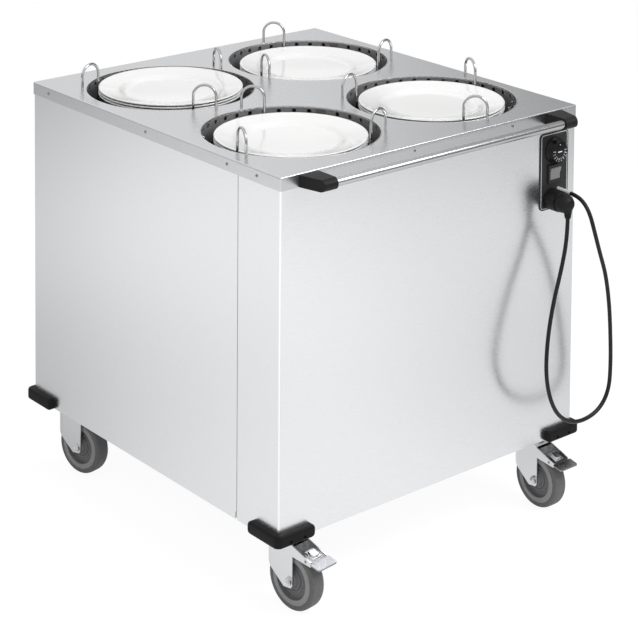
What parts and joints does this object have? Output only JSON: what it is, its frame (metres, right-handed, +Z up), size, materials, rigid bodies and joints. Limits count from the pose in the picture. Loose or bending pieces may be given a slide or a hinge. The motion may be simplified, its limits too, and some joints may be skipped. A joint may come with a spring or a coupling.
{
  "type": "heated plate dispenser",
  "caption": "Castor-mounted sheet-steel cabinet with round spring-lifted wells for plate stacks, wire plate guides, push handle, thermostat panel and parked mains lead.",
  "frame": {"origin": "on the floor, under the middle of the overall box without the mains lead", "axes": "+Z up; -Y towards the operator (handle and control panel); +X to the operator's right"},
  "size_m": [0.8998, 1.0236, 0.9535],
  "materials": {
    "stainless": "brushed",
    "collar_steel": "dull perforated sheet",
    "heater_tube": "heat-dulled tube",
    "bumper_plastic": "fine-grained moulding",
    "handle_steel": "polished tube",
    "panel_plastic": "satin panel",
    "knob_plastic": "semi-gloss moulding",
    "rocker_plastic": "semi-gloss moulding",
    "plug_rubber": "moulded",
    "cord_rubber": "smooth sheath",
    "gland_plastic": "plain moulding",
    "zinc": "bright zinc plate",
    "tyre_rubber": "non-marking grey rubber",
    "hub_plastic": "moulded grey",
    "spring_steel": "bright wire",
    "platform_steel": "plain sheet",
    "porcelain": "white glaze",
    "guide_wire": "polished wire"
  },
  "bodies": {
    "cabinet": {"top_deck": "stainless", "deck_skirt": "stainless", "front_shell": "stainless", "rear_shell": "stainless", "base_tray": "stainless", "frame_posts": "stainless", "spring_collars": "collar_steel", "heater_elements": "heater_tube", "corner_bumpers": "bumper_plastic", "handle_bar": "handle_steel", "handle_brackets": "bumper_plastic", "control_panel": "panel_plastic", "switch_housing": "panel_plastic", "thermostat": "panel_plastic", "parking_socket": "plug_rubber", "electrical_box": "stainless", "cable_gland": "gland_plastic", "mains_plug": "plug_rubber", "mains_cord": "cord_rubber", "castor_plates": "zinc", "springs_front_left": "spring_steel", "springs_rear_left": "spring_steel", "springs_rear_right": "spring_steel", "springs_front_right": "spring_steel"},
    "platform_front_left": {"platform_front_left": "platform_steel"},
    "plates_front_left": {"plates_front_left": "porcelain"},
    "plate_guide_front_left_1": {"plate_guide_front_left_1": "guide_wire"},
    "plate_guide_front_left_2": {"plate_guide_front_left_2": "guide_wire"},
    "plate_guide_front_left_3": {"plate_guide_front_left_3": "guide_wire"},
    "platform_rear_left": {"platform_rear_left": "platform_steel"},
    "plates_rear_left": {"plates_rear_left": "porcelain"},
    "plate_guide_rear_left_1": {"plate_guide_rear_left_1": "guide_wire"},
    "plate_guide_rear_left_2": {"plate_guide_rear_left_2": "guide_wire"},
    "plate_guide_rear_left_3": {"plate_guide_rear_left_3": "guide_wire"},
    "platform_rear_right": {"platform_rear_right": "platform_steel"},
    "plates_rear_right": {"plates_rear_right": "porcelain"},
    "plate_guide_rear_right_1": {"plate_guide_rear_right_1": "guide_wire"},
    "plate_guide_rear_right_2": {"plate_guide_rear_right_2": "guide_wire"},
    "plate_guide_rear_right_3": {"plate_guide_rear_right_3": "guide_wire"},
    "platform_front_right": {"platform_front_right": "platform_steel"},
    "plates_front_right": {"plates_front_right": "porcelain"},
    "plate_guide_front_right_1": {"plate_guide_front_right_1": "guide_wire"},
    "plate_guide_front_right_2": {"plate_guide_front_right_2": "guide_wire"},
    "plate_guide_front_right_3": {"plate_guide_front_right_3": "guide_wire"},
    "castor_front_left": {"castor_fork_front_left": "zinc"},
    "wheel_front_left": {"castor_tyre_front_left": "tyre_rubber", "castor_hub_front_left": "hub_plastic"},
    "castor_rear_left": {"castor_fork_rear_left": "zinc"},
    "wheel_rear_left": {"castor_tyre_rear_left": "tyre_rubber", "castor_hub_rear_left": "hub_plastic"},
    "castor_rear_right": {"castor_fork_rear_right": "zinc"},
    "wheel_rear_right": {"castor_tyre_rear_right": "tyre_rubber", "castor_hub_rear_right": "hub_plastic"},
    "castor_front_right": {"castor_fork_front_right": "zinc"},
    "wheel_front_right": {"castor_tyre_front_right": "tyre_rubber", "castor_hub_front_right": "hub_plastic"},
    "pedal_front_left": {"brake_pedal_front_left": "zinc"},
    "pedal_front_right": {"brake_pedal_front_right": "zinc"},
    "knob": {"thermostat_knob": "knob_plastic"},
    "rocker": {"switch_rocker": "rocker_plastic"}
  },
  "joints": [
    {"name": "platform_lift_front_left", "type": "slide", "parent": "cabinet", "child": "platform_front_left", "axis": [0, 0, 1], "range_m": [-0.38, 0.025], "stiffness_N_per_m": 1500, "springref_m": 0.03907, "deforming": ["springs_front_left"]},
    {"name": "plates_lift_out_front_left", "type": "slide", "parent": "platform_front_left", "child": "plates_front_left", "axis": [0, 0, 1], "range_m": [0, 0.15]},
    {"name": "guide_turn_front_left_1", "type": "hinge", "parent": "cabinet", "child": "plate_guide_front_left_1", "pos_m": [-0.1802, 0.00641, 0.9], "axis": [0, 0, 1], "range_deg": [0, 17]},
    {"name": "guide_turn_front_left_2", "type": "hinge", "parent": "cabinet", "child": "plate_guide_front_left_2", "pos_m": [-0.3828, -0.27244, 0.9], "axis": [0, 0, 1], "range_deg": [0, 17]},
    {"name": "guide_turn_front_left_3", "type": "hinge", "parent": "cabinet", "child": "plate_guide_front_left_3", "pos_m": [-0.04001, -0.30847, 0.9], "axis": [0, 0, 1], "range_deg": [0, 17]},
    {"name": "platform_lift_rear_left", "type": "slide", "parent": "cabinet", "child": "platform_rear_left", "axis": [0, 0, 1], "range_m": [-0.38, 0.025], "stiffness_N_per_m": 1500, "springref_m": 0.03907, "deforming": ["springs_rear_left"]},
    {"name": "plates_lift_out_rear_left", "type": "slide", "parent": "platform_rear_left", "child": "plates_rear_left", "axis": [0, 0, 1], "range_m": [0, 0.15]},
    {"name": "guide_turn_rear_left_1", "type": "hinge", "parent": "cabinet", "child": "plate_guide_rear_left_1", "pos_m": [-0.2218, 0.04259, 0.9], "axis": [0, 0, 1], "range_deg": [0, 17]},
    {"name": "guide_turn_rear_left_2", "type": "hinge", "parent": "cabinet", "child": "plate_guide_rear_left_2", "pos_m": [-0.0192, 0.32144, 0.9], "axis": [0, 0, 1], "range_deg": [0, 17]},
    {"name": "guide_turn_rear_left_3", "type": "hinge", "parent": "cabinet", "child": "plate_guide_rear_left_3", "pos_m": [-0.36199, 0.35747, 0.9], "axis": [0, 0, 1], "range_deg": [0, 17]},
    {"name": "platform_lift_rear_right", "type": "slide", "parent": "cabinet", "child": "platform_rear_right", "axis": [0, 0, 1], "range_m": [-0.38, 0.025], "stiffness_N_per_m": 1500, "springref_m": 0.03907, "deforming": ["springs_rear_right"]},
    {"name": "plates_lift_out_rear_right", "type": "slide", "parent": "platform_rear_right", "child": "plates_rear_right", "axis": [0, 0, 1], "range_m": [0, 0.15]},
    {"name": "guide_turn_rear_right_1", "type": "hinge", "parent": "cabinet", "child": "plate_guide_rear_right_1", "pos_m": [0.2218, 0.43841, 0.9], "axis": [0, 0, 1], "range_deg": [0, 17]},
    {"name": "guide_turn_rear_right_2", "type": "hinge", "parent": "cabinet", "child": "plate_guide_rear_right_2", "pos_m": [0.0192, 0.15956, 0.9], "axis": [0, 0, 1], "range_deg": [0, 17]},
    {"name": "guide_turn_rear_right_3", "type": "hinge", "parent": "cabinet", "child": "plate_guide_rear_right_3", "pos_m": [0.36199, 0.12353, 0.9], "axis": [0, 0, 1], "range_deg": [0, 17]},
    {"name": "platform_lift_front_right", "type": "slide", "parent": "cabinet", "child": "platform_front_right", "axis": [0, 0, 1], "range_m": [-0.38, 0.025], "stiffness_N_per_m": 1500, "springref_m": 0.03907, "deforming": ["springs_front_right"]},
    {"name": "plates_lift_out_front_right", "type": "slide", "parent": "platform_front_right", "child": "plates_front_right", "axis": [0, 0, 1], "range_m": [0, 0.15]},
    {"name": "guide_turn_front_right_1", "type": "hinge", "parent": "cabinet", "child": "plate_guide_front_right_1", "pos_m": [0.1802, -0.38941, 0.9], "axis": [0, 0, 1], "range_deg": [0, 17]},
    {"name": "guide_turn_front_right_2", "type": "hinge", "parent": "cabinet", "child": "plate_guide_front_right_2", "pos_m": [0.3828, -0.11056, 0.9], "axis": [0, 0, 1], "range_deg": [0, 17]},
    {"name": "guide_turn_front_right_3", "type": "hinge", "parent": "cabinet", "child": "plate_guide_front_right_3", "pos_m": [0.04001, -0.07453, 0.9], "axis": [0, 0, 1], "range_deg": [0, 17]},
    {"name": "castor_swivel_front_left", "type": "hinge", "parent": "cabinet", "child": "castor_front_left", "pos_m": [-0.352, -0.363, 0.164], "axis": [0, 0, 1], "continuous": true},
    {"name": "wheel_roll_front_left", "type": "hinge", "parent": "castor_front_left", "child": "wheel_front_left", "pos_m": [-0.34761, -0.39873, 0.0625], "axis": [0.9925, 0.1219, 0], "continuous": true},
    {"name": "castor_swivel_rear_left", "type": "hinge", "parent": "cabinet", "child": "castor_rear_left", "pos_m": [-0.352, 0.412, 0.164], "axis": [0, 0, 1], "continuous": true},
    {"name": "wheel_roll_rear_left", "type": "hinge", "parent": "castor_rear_left", "child": "wheel_rear_left", "pos_m": [-0.34482, 0.37672, 0.0625], "axis": [0.9799, 0.1994, 0], "continuous": true},
    {"name": "castor_swivel_rear_right", "type": "hinge", "parent": "cabinet", "child": "castor_rear_right", "pos_m": [0.352, 0.412, 0.164], "axis": [0, 0, 1], "continuous": true},
    {"name": "wheel_roll_rear_right", "type": "hinge", "parent": "castor_rear_right", "child": "wheel_rear_right", "pos_m": [0.352, 0.376, 0.0625], "axis": [1, 0, 0], "continuous": true},
    {"name": "castor_swivel_front_right", "type": "hinge", "parent": "cabinet", "child": "castor_front_right", "pos_m": [0.352, -0.363, 0.164], "axis": [0, 0, 1], "continuous": true},
    {"name": "wheel_roll_front_right", "type": "hinge", "parent": "castor_front_right", "child": "wheel_front_right", "pos_m": [0.352, -0.399, 0.0625], "axis": [1, 0, 0], "continuous": true},
    {"name": "brake_pedal_front_left", "type": "hinge", "parent": "castor_front_left", "child": "pedal_front_left", "pos_m": [-0.34201, -0.44439, 0.119], "axis": [0.9925, 0.1219, 0], "range_deg": [0, 10]},
    {"name": "brake_pedal_front_right", "type": "hinge", "parent": "castor_front_right", "child": "pedal_front_right", "pos_m": [0.352, -0.445, 0.119], "axis": [1, 0, 0], "range_deg": [0, 10]},
    {"name": "thermostat_turn", "type": "hinge", "parent": "cabinet", "child": "knob", "pos_m": [0.3495, -0.4275, 0.811], "axis": [0, 1, 0], "range_deg": [0, 270]},
    {"name": "switch_rock", "type": "hinge", "parent": "cabinet", "child": "rocker", "pos_m": [0.3495, -0.4275, 0.76], "axis": [1, 0, 0], "range_deg": [-16, 0]}
  ]
}
